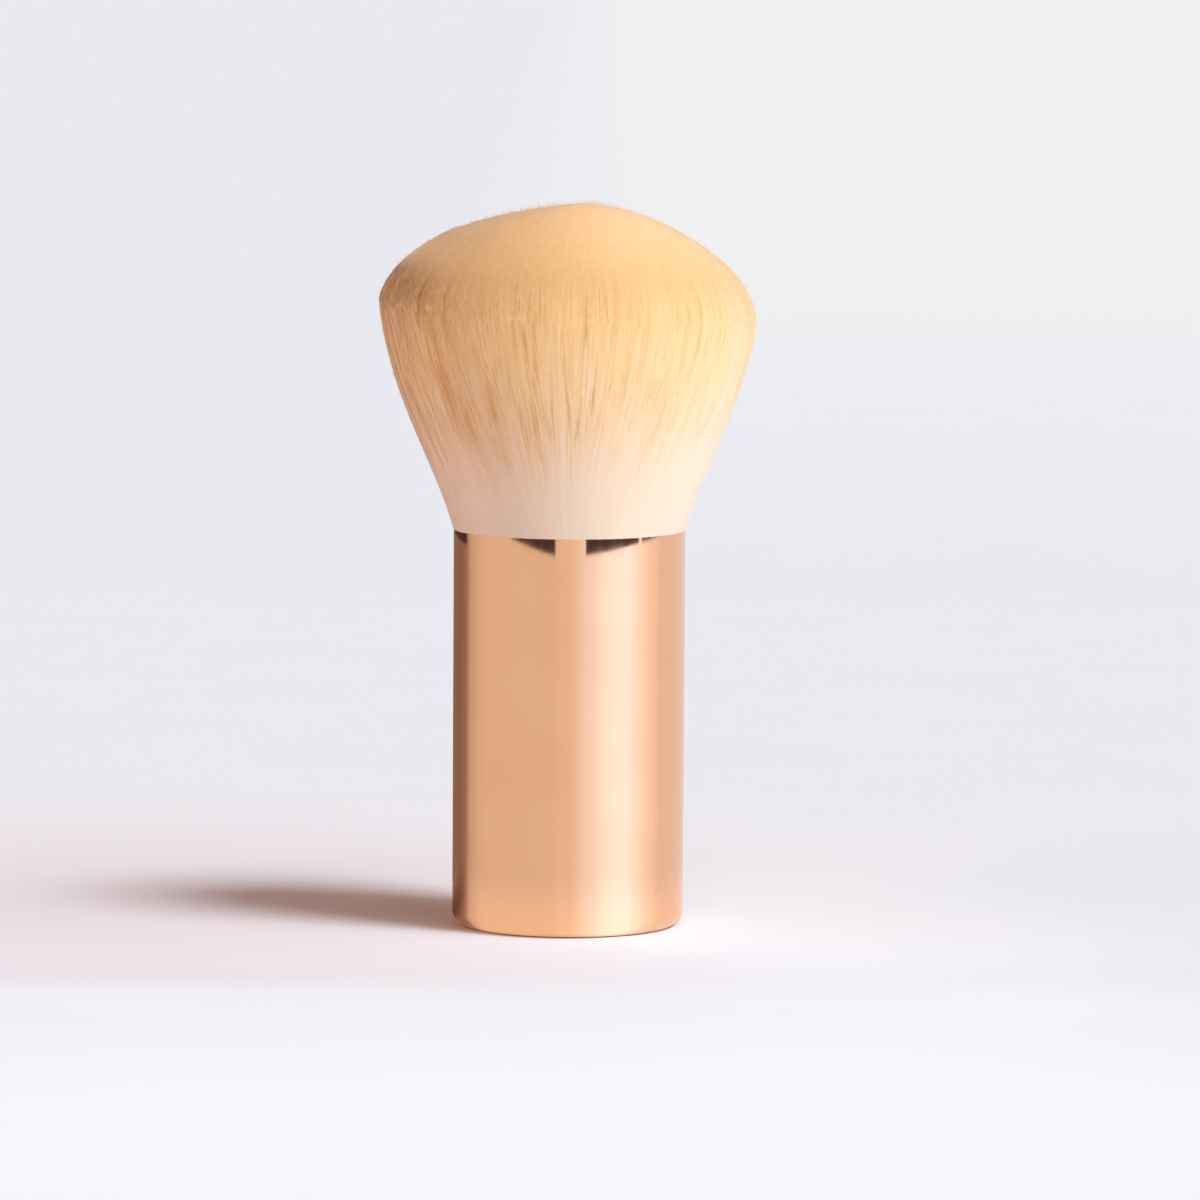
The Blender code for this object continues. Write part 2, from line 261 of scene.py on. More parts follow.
ROSE_GOLD = (0.95, 0.57, 0.36)
ROSE_GOLD_WORN = (0.90, 0.50, 0.32)
CLOUD_RANGE = (0.35, 0.65)
CLOUD_SHARE = 0.35
PLATE_ROUGHNESS = (0.055, 0.10)
EDGE_WEAR_HEIGHT = 1.5 * BASE_EDGE_RADIUS
SCUFF_RANGE = (0.45, 0.7)
WORN_COLOUR_SHARE = 0.5
WORN_ROUGHNESS = 0.18


def rose_gold_finish(nodes):
    """Polished rose-gold plate: a faint orange peel, hairline wiping marks, and a duller base edge."""
    cloud = nodes.noise(scale=90.0, detail=3.0)
    hairlines = nodes.noise(scale=900.0, detail=4.0, upwards=0.04, roughness=0.7)
    scuffs = nodes.noise(scale=2600.0, detail=3.0, roughness=0.8)
    edge = nodes.remap(nodes.place_parts()["Z"], 0.0, EDGE_WEAR_HEIGHT, 1.0, 0.0)
    worn = nodes.multiply(edge, nodes.remap(scuffs, *SCUFF_RANGE), clamp=True)
    clouded = nodes.remap(cloud, *CLOUD_RANGE, 0.0, CLOUD_SHARE)
    colour = nodes.mix(clouded, rgba(ROSE_GOLD), rgba(ROSE_GOLD_WORN))
    colour = nodes.mix(nodes.multiply(worn, WORN_COLOUR_SHARE), colour, rgba(ROSE_GOLD_WORN))
    roughness = nodes.from_noise(hairlines, *PLATE_ROUGHNESS)
    roughness = nodes.math("ADD", roughness, nodes.multiply(worn, WORN_ROUGHNESS))
    peel = nodes.bump(cloud, strength=0.05, distance=0.0002)
    normal = nodes.bump(hairlines, strength=0.02, distance=0.00002, normal=peel)
    nodes.principled(Base_Color=colour, Metallic=1.0, Roughness=roughness, Normal=normal)


def moulded_plastic_finish(nodes):
    """Natural moulded plastic, with fine spark texture and faint flow marks."""
    flow = nodes.noise(scale=120.0, detail=3.0, upwards=0.2)
    grain = nodes.noise(scale=4000.0)
    nodes.principled(
        Base_Color=nodes.noise_colour(flow, (0.66, 0.63, 0.57), (0.76, 0.74, 0.69)),
        Roughness=nodes.from_noise(grain, 0.48, 0.62),
        Normal=nodes.bump(grain, strength=0.2, distance=0.00004),
    )


def turned_steel_finish(nodes):
    """Zinc-plated steel with the rings that a lathe leaves on its faces."""
    rings = nodes.wave(scale=1500.0, distortion=0.4, wave_type="RINGS", rings_direction="Z")
    bloom = nodes.noise(scale=260.0, detail=3.0)
    nodes.principled(
        Base_Color=nodes.noise_colour(bloom, (0.38, 0.39, 0.41), (0.52, 0.52, 0.50)),
        Metallic=1.0,
        Roughness=nodes.remap(rings, 0.0, 1.0, 0.28, 0.46),
        Normal=nodes.bump(rings, strength=0.3, distance=0.00003),
    )


def drawn_aluminium_finish(nodes):
    """Bare aluminium with drawing lines along its wall."""
    lines = nodes.noise(scale=3000.0, detail=3.0, upwards=0.02)
    nodes.principled(
        Base_Color=nodes.noise_colour(lines, (0.66, 0.66, 0.68), (0.80, 0.80, 0.81)),
        Metallic=1.0,
        Roughness=nodes.from_noise(lines, 0.25, 0.42),
        Normal=nodes.bump(lines, strength=0.2, distance=0.00002),
    )


def resin_finish(nodes):
    """Cured amber resin, a little cloudy."""
    clouds = nodes.noise(scale=350.0, detail=4.0)
    nodes.principled(
        Base_Color=nodes.noise_colour(clouds, (0.62, 0.40, 0.14), (0.80, 0.62, 0.32)),
        Roughness=nodes.from_noise(clouds, 0.18, 0.34),
        Normal=nodes.bump(clouds, strength=0.2, distance=0.0001),
    )


def thread_finish(nodes):
    """Waxed thread, wound turn by turn."""
    winding = nodes.wave(scale=700.0, distortion=0.6, bands_direction="Z")
    fuzz = nodes.noise(scale=5000.0)
    nodes.principled(
        Base_Color=nodes.ramp(winding, ((0.0, (0.52, 0.48, 0.40)), (0.6, (0.86, 0.83, 0.76)))),
        Roughness=nodes.from_noise(fuzz, 0.6, 0.8),
        Normal=nodes.bump(winding, strength=0.8, distance=0.0001),
    )


# The tuft's colours, by the share of the way from the lip to the apex. A tone runs from 0 (brown, and
# dyed far down) to 1 (pale), and an even one is the plain dye.
TUFT_STOPS = (
    (0.03, (0.90, 0.73, 0.575)),
    (0.11, (0.91, 0.725, 0.568)),
    (0.23, (0.925, 0.705, 0.52)),
    (0.36, (0.93, 0.665, 0.410)),
    (0.47, (0.93, 0.640, 0.334)),
    (0.65, (0.93, 0.615, 0.295)),
    # The crown's stops are the tan tips, made darker with painted shade where the tips take less light
    # than their outline gives.
    (0.80, (0.86, 0.550, 0.262)),
    (1.00, (0.80, 0.518, 0.278)),
)
EVEN_TONE = 0.5
DYE_SHIFT = 0.30
PALE = (0.97, 0.83, 0.76)
PALE_FROM = 0.52
PALE_SHARE = 0.50
STREAK_BROWN = (0.74, 0.54, 0.36)
STREAK_STOPS = ((0.0, 0.06), (0.16, 0.20), (0.46, 1.0), (0.74, 1.0), (0.88, 0.40), (1.0, 0.15))
FIBRE_SPECULAR = 0.25
SHEEN_WEIGHT = 0.20
SHEEN_ROUGHNESS = 0.45
SHEEN_TINT = (1.0, 0.90, 0.94)
FILAMENT_ROUGHNESS = (0.50, 0.64)
FILAMENT_MAP = "OFBake"
MASS_TONES = (0.40, 0.60)
MASS_ROUGHNESS = (0.6, 0.8)


def filament_colour(nodes, along, tone):
    """Dip-dyed filaments, with painted shade over the crown. Those of a low tone are dyed further down
    and browner, others are paler.
    """
    shift = nodes.multiply(nodes.math("SUBTRACT", EVEN_TONE, tone), DYE_SHIFT)
    colour = nodes.ramp(nodes.math("ADD", along, shift), TUFT_STOPS)
    colour = nodes.mix(nodes.remap(tone, PALE_FROM, 1.0, 0.0, PALE_SHARE), colour, rgba(PALE))
    brown = nodes.multiply(nodes.remap(tone, EVEN_TONE, 0.0), nodes.ramp(along, STREAK_STOPS))
    return nodes.tint(brown, colour, STREAK_BROWN)


def fibre_shader(nodes, **inputs):
    """The shader that all of the tuft has, dull and with a soft sheen."""
    nodes.principled(
        Specular_IOR_Level=FIBRE_SPECULAR,
        Sheen_Weight=SHEEN_WEIGHT,
        Sheen_Roughness=SHEEN_ROUGHNESS,
        Sheen_Tint=rgba(SHEEN_TINT),
        **inputs,
    )


def filament_finish(nodes):
    """Fine synthetic filaments. All is read from the strand's own map: tone across, height up."""
    strand = nodes.add("UVMap", uv_map=FILAMENT_MAP)
    split = nodes.add("SeparateXYZ", {"Vector": strand})
    colour = filament_colour(nodes, split.outputs["Y"], split.outputs["X"])
    crimp = nodes.noise(scale=24.0, vector=strand)
    roughness = nodes.from_noise(crimp, *FILAMENT_ROUGHNESS)
    fibre_shader(nodes, Base_Color=colour, Roughness=roughness)


def tuft_mass_finish(nodes):
    """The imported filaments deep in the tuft, with the same colours by height, seen between strands."""
    streaks = nodes.noise(scale=1400.0, detail=3.0, upwards=0.05)
    along = nodes.remap(nodes.place_parts()["Z"], LIP_HEIGHT, APEX_HEIGHT)
    colour = filament_colour(nodes, along, nodes.from_noise(streaks, *MASS_TONES))
    roughness = nodes.from_noise(streaks, *MASS_ROUGHNESS)
    normal = nodes.bump(streaks, strength=0.3, distance=0.0001)
    fibre_shader(nodes, Base_Color=colour, Roughness=roughness, Normal=normal)


# Turned shapes


def even_angles(sides):
    return TURN * np.arange(sides) / sides


def level_row(radius, height, sides):
    """The radii and heights of a round, level ring."""
    return np.full(sides, radius), np.full(sides, height)


def add_ring(shape, radii, heights):
    """Adds a ring of vertices at even angles to a bmesh."""
    return [
        shape.verts.new((radius * math.cos(angle), radius * math.sin(angle), height))
        for radius, height, angle in zip(radii, heights, even_angles(len(radii)))
    ]


def finished(name, shape, material):
    """Makes a smooth-shaded object from a bmesh."""
    bmesh.ops.recalc_face_normals(shape, faces=shape.faces)
    mesh = bpy.data.meshes.new(name)
    shape.to_mesh(mesh)
    shape.free()
    mesh.materials.append(material)
    mesh.shade_smooth()
    return add_object(name, mesh)


def turned_body(name, rows, low, high, material):
    """Makes a closed mesh over rows of radii and heights, and two heights on the axis at its ends."""
    shape = bmesh.new()
    rings = [add_ring(shape, radii, heights) for radii, heights in rows]
    first = shape.verts.new((0.0, 0.0, low))
    last = shape.verts.new((0.0, 0.0, high))
    sides = len(rings[0])
    for side in range(sides):
        after = (side + 1) % sides
        shape.faces.new((first, rings[0][after], rings[0][side]))
        shape.faces.new((last, rings[-1][side], rings[-1][after]))
        for lower, upper in zip(rings, rings[1:]):
            shape.faces.new((lower[side], lower[after], upper[after], upper[side]))
    return finished(name, shape, material)


# Handle

SHELL_SIDES = 384
EDGE_STEPS = 14
LIP_STEPS = 16
WALL_STEPS = 12
UNDERSIDE_SHARES = (0.25, 0.5, 0.75, 0.97)
INSIDE_SHARES = (0.75, 0.5, 0.25)


def arc(centre, radius, start_degrees, end_degrees, steps):
    """Points of an arc in the (radius, height) plane, both ends included."""
    points = []
    for step in range(steps + 1):
        angle = math.radians(start_degrees + (end_degrees - start_degrees) * step / steps)
        points.append((centre[0] + radius * math.cos(angle), centre[1] + radius * math.sin(angle)))
    return points


def climb(radius, start, end, steps):
    """Points up or down a straight wall, both ends left out."""
    return [(radius, start + (end - start) * step / steps) for step in range(1, steps)]


def make_handle():
    """The shell as one drawn cup: underside, rolled base edge, wall, rolled lip, and inside again."""
    outer, inner = HANDLE_RADIUS, HANDLE_RADIUS - SHELL_WALL
    lip = SHELL_WALL / 2
    corner = BASE_EDGE_RADIUS - SHELL_WALL
    flat = outer - BASE_EDGE_RADIUS
    profile = [(flat * share, 0.0) for share in UNDERSIDE_SHARES]
    profile += arc((flat, BASE_EDGE_RADIUS), BASE_EDGE_RADIUS, -90, 0, EDGE_STEPS)
    profile += climb(outer, BASE_EDGE_RADIUS, LIP_HEIGHT - lip, WALL_STEPS)
    profile += arc((outer - lip, LIP_HEIGHT - lip), lip, 0, 180, LIP_STEPS)
    profile += climb(inner, LIP_HEIGHT - lip, SHELL_FLOOR + corner, WALL_STEPS)
    profile += arc((inner - corner, SHELL_FLOOR + corner), corner, 0, -90, EDGE_STEPS)
    profile += [((inner - corner) * share, SHELL_FLOOR) for share in INSIDE_SHARES]
    rows = [level_row(radius, height, SHELL_SIDES) for radius, height in profile]
    material = new_material("rose_gold_plate", rose_gold_finish)
    handle = turned_body("handle_cup", rows, 0.0, SHELL_FLOOR, material)
    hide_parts("handle_shell")
    return handle


# The tuft's outline


def shoulder_height(angle):
    """The shoulder lies a little higher on the left, where the outer filaments are longer."""
    return LIP_HEIGHT + SHOULDER_RISE - SHOULDER_TILT * np.cos(angle)


def rim_radius(angle):
    """Radius at the shoulder. The head leans a little to the left."""
    return HEAD_RADIUS - HEAD_LEAN * np.cos(angle)


def dome_rise(angle):
    return APEX_HEIGHT - APEX_DROP - shoulder_height(angle)


def dome_powers(angle):
    """The dome's side is crisper on the left and rounder on the right."""
    width_power = DOME_WIDTH_POWER + DOME_WIDTH_TILT * np.cos(angle)
    return width_power, DOME_RISE_POWER + DOME_RISE_TILT * np.cos(angle)


def surface_radius(height, angle):
    """Radius of the tuft's surface at a height and an angle, up the flare and over the dome.

    The flare is a cubic curve with its own slope at each end, and a bulge on the left that is
    highest halfway up.
    """
    shoulder = shoulder_height(angle)
    rise = shoulder - LIP_HEIGHT
    share = np.clip((height - LIP_HEIGHT) / rise, 0.0, 1.0)
    square, cube = share**2, share**3
    bulge = 16 * (square - 2 * cube + square**2)
    flare = (
        (HANDLE_RADIUS - SPILL) * (2 * cube - 3 * square + 1)
        + LIP_SLOPE * rise * (cube - 2 * square + share)
        + rim_radius(angle) * (3 * square - 2 * cube)
        + SHOULDER_SLOPE * rise * (cube - square)
        + LEFT_BULGE * (1 - np.cos(angle)) / 2 * bulge
    )
    climbed = np.clip((height - shoulder) / dome_rise(angle), 0.0, HIGHEST_CLIMB)
    width_power, rise_power = dome_powers(angle)
    return flare * (1 - climbed**rise_power) ** width_power


def crown_height(radius, angle):
    """Height of the domed crown at a distance from the axis. It's fuller on the right."""
    share = np.clip(radius / rim_radius(angle), 0.0, 1.0)
    width_power, rise_power = dome_powers(angle)
    climbed = (1 - share ** (1 / width_power)) ** (1 / rise_power)
    leaned = APEX_LEAN * np.cos(angle) * share * (1 - share) ** 2
    return shoulder_height(angle) + dome_rise(angle) * climbed + leaned


# Elevation in degrees of the way that the tuft shades, by the place up the flare (0 to 1) and from the
# shoulder in over the crown (1 to 2). Upright filaments catch light from every side, so the flare isn't
# shaded as if it faced the ground, and the crown turns up less than its outline does. Light passes
# between the tips, so the crown's shaded side and the rim behind it are lifted towards it.
FACING_STOPS = (
    (0.00, -10),
    (0.35, -5),
    (0.70, 0),
    (0.92, 4),
    (1.05, 10),
    (1.20, 20),
    (1.40, 34),
    (1.65, 52),
    (1.85, 72),
    (2.00, 88),
)
FACING_LIFT = 55
FACING_LIFT_TURN = math.radians(142)
RIM_LIFT = 34
RIM_LIFT_TURN = math.radians(55)
LIFT_SPAN = (0.95, 0.26)


def tuft_normals(radius, height, angle):
    """The way the tuft shades at places on its surface."""
    shoulder = shoulder_height(angle)
    up_flare = np.clip((height - LIP_HEIGHT) / (shoulder - LIP_HEIGHT), 0.0, 1.0)
    over_crown = 2 - np.clip(radius / rim_radius(angle), 0.0, 1.0)
    place = np.where(height < shoulder, up_flare, over_crown)
    rise = np.interp(place, *zip(*FACING_STOPS))
    shaded = (1 + np.cos(angle - FACING_LIFT_TURN)) / 2
    behind = np.clip(np.cos(angle - RIM_LIFT_TURN), 0.0, 1.0) ** 2
    lift = (FACING_LIFT * shaded + RIM_LIFT * behind) * eased(place, *LIFT_SPAN)
    rise = np.radians(rise + lift * (1 - rise / 90))
    turn = angle + np.zeros_like(rise)
    flat = np.cos(rise)
    return np.stack([np.cos(turn) * flat, np.sin(turn) * flat, np.sin(rise)], axis=-1)


def height_share(height):
    """Share of the way from the lip to the apex, for the strand's map."""
    return np.clip((height - LIP_HEIGHT) / (APEX_HEIGHT - LIP_HEIGHT), 0.0, 1.0)


# Meshes of filaments

FILAMENT_SIDES = 3
TONE_WIDTH = 0.02
END_MAP_STEP = 0.01
AXIS_NUDGE = 1e-6


def strand_surface(centres, normals, widths, twists, flatness, shading):
    """The corner points of strands, level by level, and the ways that they shade."""
    forward = np.gradient(centres, axis=1)
    forward /= np.linalg.norm(forward, axis=2, keepdims=True)
    outward = centres * np.array([1.0, 1.0, 0.0])
    outward += np.array([AXIS_NUDGE, 0.0, 0.0])
    across = np.cross(forward, outward)
    across /= np.linalg.norm(across, axis=2, keepdims=True)
    outward = np.cross(across, forward)
    corners, facings = [], []
    for side in range(FILAMENT_SIDES):
        angle = (twists + TURN * side / FILAMENT_SIDES)[:, None, None]
        over, along = np.cos(angle) * outward, np.sin(angle) * across
        corners.append(centres + widths[:, :, None] / 2 * (flatness * over + along))
        facings.append((1 - shading) * (over + along) + shading * normals)
    points = np.stack(corners, axis=2).reshape(-1, 3)
    facing = np.stack(facings, axis=2).reshape(-1, 3)
    return points, facing / np.linalg.norm(facing, axis=1, keepdims=True)


def strand_faces(strands, levels):
    """The strands' faces, four corners for each side and three for each end: corners and counts."""
    strand = np.arange(strands)[:, None, None] * levels * FILAMENT_SIDES
    level = np.arange(levels - 1)[None, :, None] * FILAMENT_SIDES
    side = np.arange(FILAMENT_SIDES)[None, None, :]
    after = (side + 1) % FILAMENT_SIDES
    lower, upper = strand + level, strand + level + FILAMENT_SIDES
    quads = np.stack([lower + side, lower + after, upper + after, upper + side], axis=3)
    foot = strand[:, 0, :] + np.array([[2, 1, 0]])
    tip = strand[:, 0, :] + (levels - 1) * FILAMENT_SIDES + np.array([[0, 1, 2]])
    corners = np.concatenate([quads.ravel(), foot.ravel(), tip.ravel()])
    counts = np.concatenate([np.full(quads.size // 4, 4), np.full(2 * strands, 3)])
    return corners, counts


def strand_map(tones, alongs):
    """The map of the strands' faces: tone across, and the share of the way up the tuft upwards."""

    def joined(pairs, axis):
        return np.stack([np.stack(pair, axis=axis) for pair in pairs], axis=axis).reshape(-1, 2)

    spread = TONE_WIDTH * (np.array([0, 1, 2, 3]) / FILAMENT_SIDES - 0.5)
    held = TONE_WIDTH + (1 - 2 * TONE_WIDTH) * np.clip(tones, 0.0, 1.0)
    near, far = held[:, :, None] + spread[:-1], held[:, :, None] + spread[1:]
    rise = np.repeat(alongs[:, :, None], FILAMENT_SIDES, axis=2)
    low, high = np.s_[:, :-1], np.s_[:, 1:]
    corners = ((near, low), (far, low), (far, high), (near, high))
    parts = [joined([(across[level], rise[level]) for across, level in corners], 3)]
    for end, step in ((0, END_MAP_STEP), (-1, -END_MAP_STEP)):
        tone, rise = held[:, end], alongs[:, end]
        corners = ((tone + spread[0], rise), (tone + spread[3], rise), (tone, rise + step))
        parts.append(joined(corners, 1))
    return np.concatenate(parts).clip(0.0, 1.0)


def build_filaments(name, strands, material, flatness, shading):
    """Makes one mesh of closed three-sided strands.

    The strands are arrays: centres and normals are (strands, levels, 3), widths, tones and alongs
    (strands, levels), and twists (strands,). The flatness is a strand's thickness over its width. The
    normals are the tuft's own, and the shading is the share that they have in the strands' own.
    """
    centres, normals, widths, tones, alongs, twists = strands
    points, facing = strand_surface(centres, normals, widths, twists, flatness, shading)
    corners, counts = strand_faces(*widths.shape)
    starts = np.concatenate([[0], np.cumsum(counts)[:-1]])
    mesh = bpy.data.meshes.new(name)
    mesh.vertices.add(len(points))
    mesh.vertices.foreach_set("co", points.astype(np.float32).ravel())
    mesh.loops.add(len(corners))
    mesh.loops.foreach_set("vertex_index", corners.astype(np.int32))
    mesh.polygons.add(len(counts))
    mesh.polygons.foreach_set("loop_start", starts.astype(np.int32))
    mesh.update(calc_edges=True)
    layer = mesh.uv_layers.new(name=FILAMENT_MAP)
    layer.data.foreach_set("uv", strand_map(tones, alongs).astype(np.float32).ravel())
    mesh.materials.append(material)
    mesh.shade_smooth()
    mesh.normals_split_custom_set_from_vertices(facing.tolist())
    made = add_object(name, mesh)
    return made


# How much paler or darker the tuft is from place to place. A wedge has a count, and ranges of its
# middle and half length (shares of the way up the tuft), half width (metres) and strength (tone).

PATTERN_SEED = 7
PATTERN_ROWS = 200
PATTERN_COLUMNS = 4096
WEDGE_SLANT = 0.004
WEDGE_FLARE = 0.45
WEDGE_SIDE_POWER = 1.5
WEDGE_END_POWER = 4
WEDGES = (
    (540, (0.28, 0.72), (0.04, 0.12), (0.00010, 0.00030), (-0.56, -0.20)),
    (400, (0.48, 0.82), (0.020, 0.06), (0.00008, 0.00018), (-0.38, -0.10)),
    (230, (0.14, 0.40), (0.06, 0.13), (0.00015, 0.00040), (-0.42, -0.18)),
    (320, (0.06, 0.34), (0.07, 0.16), (0.00007, 0.00015), (-0.50, -0.20)),
    (560, (0.10, 0.66), (0.06, 0.14), (0.00010, 0.00026), (0.16, 0.42)),
    (500, (0.00, 0.26), (0.05, 0.12), (0.00008, 0.00018), (-0.28, 0.28)),
    (70, (0.25, 0.70), (0.10, 0.22), (0.0010, 0.0022), (-0.14, 0.10)),
)
BASE_TONE = 0.48
# Painted highlight: the side of the tuft that faces the key light is made paler, and its streaks calmer.
LIT_TURN = math.radians(-5)
LIT_TONE = 0.21
LIT_POWER = 8
LIT_CALM = 0.62
TOP_CALM = 0.30
TOP_CALM_SPAN = (0.42, 0.20)


class Pattern:
    """A picture of the tuft unrolled: values over the angle round it, and the share of the way up."""

    def __init__(self):
        self.values = np.zeros((PATTERN_ROWS, PATTERN_COLUMNS))
        chance = np.random.default_rng(PATTERN_SEED)
        for wedges in WEDGES:
            self.add_wedges(chance, *wedges)

    def add_wedges(self, chance, count, places, lengths, widths, strengths):
        """Adds spindles of values, which are wider above their middle than below it."""
        rows = (np.arange(PATTERN_ROWS) + 0.5) / PATTERN_ROWS
        pitch = TURN * HEAD_RADIUS / PATTERN_COLUMNS
        for _ in range(count):
            middle = chance.integers(PATTERN_COLUMNS)
            place, length = chance.uniform(*places), chance.uniform(*lengths)
            width, strength = chance.uniform(*widths), chance.uniform(*strengths)
            slant = WEDGE_SLANT * chance.normal()
            inside = np.nonzero(np.abs(rows - place) < length)[0]
            reach = (rows[inside] - place) / length
            half = width * np.sqrt(1 - reach**2) * (1 + WEDGE_FLARE * reach)
            span = int(2 * width / pitch + abs(slant) * length / pitch) + 2
            columns = np.arange(-span, span + 1)
            away = (columns[None, :] * pitch - slant * length * reach[:, None]) / half[:, None]
            shade = strength * np.clip(1 - away**2, 0.0, 1.0) ** WEDGE_SIDE_POWER
            shade = shade * (1 - reach**WEDGE_END_POWER)[:, None]
            held = (columns + middle) % PATTERN_COLUMNS
            self.values[inside[:, None], held[None, :]] += shade

    def read(self, angle, along):
        """The values at places, each a mean of the four nearest."""
        column = np.mod(angle / TURN, 1.0) * PATTERN_COLUMNS
        row = np.clip(along * PATTERN_ROWS - 0.5, 0.0, PATTERN_ROWS - 1.001)
        left, low = np.floor(column).astype(int), np.floor(row).astype(int)
        across, up = column - left, row - low
        left, right = left % PATTERN_COLUMNS, (left + 1) % PATTERN_COLUMNS
        below = self.values[low, left] * (1 - across) + self.values[low, right] * across
        above = self.values[low + 1, left] * (1 - across) + self.values[low + 1, right] * across
        return below * (1 - up) + above * up


PATTERN = Pattern()


def place_tones(angle, along):
    """The tone of filaments at places: paler, with calmer streaks, on the right where the key light
    falls, a painted highlight.
    """
    lit = (1 + np.cos(angle - LIT_TURN)) / 2
    calm = (1 - LIT_CALM * lit) * (1 - TOP_CALM * eased(along, *TOP_CALM_SPAN))
    return BASE_TONE + PATTERN.read(angle, along) * calm + LIT_TONE * lit**LIT_POWER


def wave_sum(chance, angle, frequencies):
    """A smooth random value round zero that repeats after a full turn. Its spread is about 1."""
    total = 0.0
    for frequency in frequencies:
        phase = chance.random() * TURN
        chance.normal()  # Not used, but the draws after it depend on it
        total = total + np.sin(frequency * angle + phase)
    return total / math.sqrt(len(frequencies) / 2)


# Filaments up the side. Their levels and the spans are shares of the way from root to tip. What a lock
# does is in pitches, the distance from one lock to the next, and tones spread round that of the place.
SIDE_LAYERS = (
    ("side_filaments_under", 21, 3100, 0.00004, 0.00009),
    ("side_filaments_middle", 22, 3100, 0.00002, 0.00006),
    ("side_filaments_over", 23, 3100, 0.0, 0.00004),
)
SIDE_LEVELS = np.array([[0.0, 0.035, *(0.10 + 0.05 * step for step in range(19))]])
SIDE_WIDTH = 0.00016
SIDE_FLATNESS = 0.45
SIDE_SHADING = 0.92
WIDTH_RANGE = (0.8, 1.15)
ROOT_WIDTH_SHARE = 0.65
ROOT_DEPTH_SHARE = 0.4
ROOT_DROP = 0.0012
ROOT_INSET = 0.0008
TIP_TAPER = 0.7
TIP_TAPER_SPAN = (0.7, 0.3)
TIP_SINK = 0.00009
TIP_SINK_SPAN = (0.8, 0.2)
SIDE_END_LOW = -0.0060
SIDE_END_HIGH = 0.0095
LOCK_COUNT = 240
LOCK_SCATTER = 0.35
LOCK_REACH = 0.75
LOCK_BEND = 0.30
LOCK_GATHER = 0.22
LOCK_GATHER_SPAN = (0.15, 0.45)
LOCK_OPENING = 0.15
LOCK_OPENING_SPAN = (0.8, 0.2)
LOCK_TONE = 0.05
SIDE_STRAY = 0.45
SIDE_STRAY_POWER = 1.5
SIDE_TONE = 0.05
FAN = 0.24


def side_filaments(chance, count, depth_from, depth_to):
    """Filaments in loose locks. They end at scattered heights, some of them over the shoulder.

    They part more than the flare does on the near and far side, and less on the left and right.
    """
    pitch = TURN / LOCK_COUNT
    locks = np.arange(LOCK_COUNT) + LOCK_SCATTER * chance.normal(size=LOCK_COUNT)
    lock_tone = chance.normal(size=LOCK_COUNT)
    lock_bend = chance.normal(size=LOCK_COUNT)
    mine = chance.integers(LOCK_COUNT, size=count)
    offset = chance.uniform(-LOCK_REACH, LOCK_REACH, size=count)
    gather = 1 - LOCK_GATHER * eased(SIDE_LEVELS, *LOCK_GATHER_SPAN)
    gather = gather + LOCK_OPENING * eased(SIDE_LEVELS, *LOCK_OPENING_SPAN)
    bend = LOCK_BEND * lock_bend[mine][:, None] * np.sin(math.pi * SIDE_LEVELS)
    stray = SIDE_STRAY * chance.normal(size=(count, 1)) * SIDE_LEVELS**SIDE_STRAY_POWER
    angle = pitch * (locks[mine][:, None] + offset[:, None] * gather + bend + stray)
    turn = angle + FAN * np.sin(2 * angle) * (1 - SIDE_LEVELS)

    depth = chance.uniform(depth_from, depth_to, size=(count, 1))
    end = chance.uniform(SIDE_END_LOW, SIDE_END_HIGH, size=(count, 1))
    tip = shoulder_height(angle[:, -1:]) + end
    root = LIP_HEIGHT - ROOT_DROP
    height = root + (tip - root) * SIDE_LEVELS
    inset = ROOT_INSET * (1 - eased(height, root, ROOT_DROP))
    fanned = eased(height, LIP_HEIGHT, SHOULDER_RISE)
    sink = TIP_SINK * eased(SIDE_LEVELS, *TIP_SINK_SPAN)
    sunk = depth * (ROOT_DEPTH_SHARE + (1 - ROOT_DEPTH_SHARE) * fanned)
    radius = surface_radius(height, turn) - inset - sink - sunk
    centres = np.stack([radius * np.cos(turn), radius * np.sin(turn), height], axis=2)
    normals = tuft_normals(radius, height, turn)

    widths = SIDE_WIDTH * (ROOT_WIDTH_SHARE + (1 - ROOT_WIDTH_SHARE) * fanned)
    widths = widths * (1 - TIP_TAPER * eased(SIDE_LEVELS, *TIP_TAPER_SPAN))
    widths = widths * chance.uniform(*WIDTH_RANGE, (count, 1))
    along = height_share(height)
    own = LOCK_TONE * lock_tone[mine] + SIDE_TONE * chance.normal(size=count)
    tones = place_tones(angle, along) + own[:, None]
    twists = chance.uniform(0.0, TURN, size=count)
    return centres, normals, widths, tones, along, twists


# The ends of the filaments that make the crown. Their levels are lengths below the tip.
CROWN_LAYERS = (
    ("crown_filaments_rim", 31, 13000, 0.76, 0.93, 0.0030),
    ("crown_filaments_middle", 32, 17000, 0.45, 0.76, 0.0022),
    ("crown_filaments_centre", 33, 9000, 0.0, 0.45, 0.0020),
)
CROWN_LEVELS = np.array([[-1.0, -0.45, 0.0]])
CROWN_WIDTHS = 0.00015 * np.array([[1.0, 0.95, 0.75]])
CROWN_SHADING = 0.96
CLUMPS_ROUND = (23, 37, 61, 83)
CLUMPS_INWARDS = (1, 1.7)
CLUMP_PHASE = 60
CLUMP_HEIGHT = 0.00002
CLUMP_TONE = 0.02
CROWN_RAGGEDNESS = 0.00003
CROWN_FAN = 0.16
CROWN_SWAY = 0.0002
CROWN_SWAY_RADIUS = 0.002
CROWN_TILT = 0.00008
CROWN_TONE = 0.03


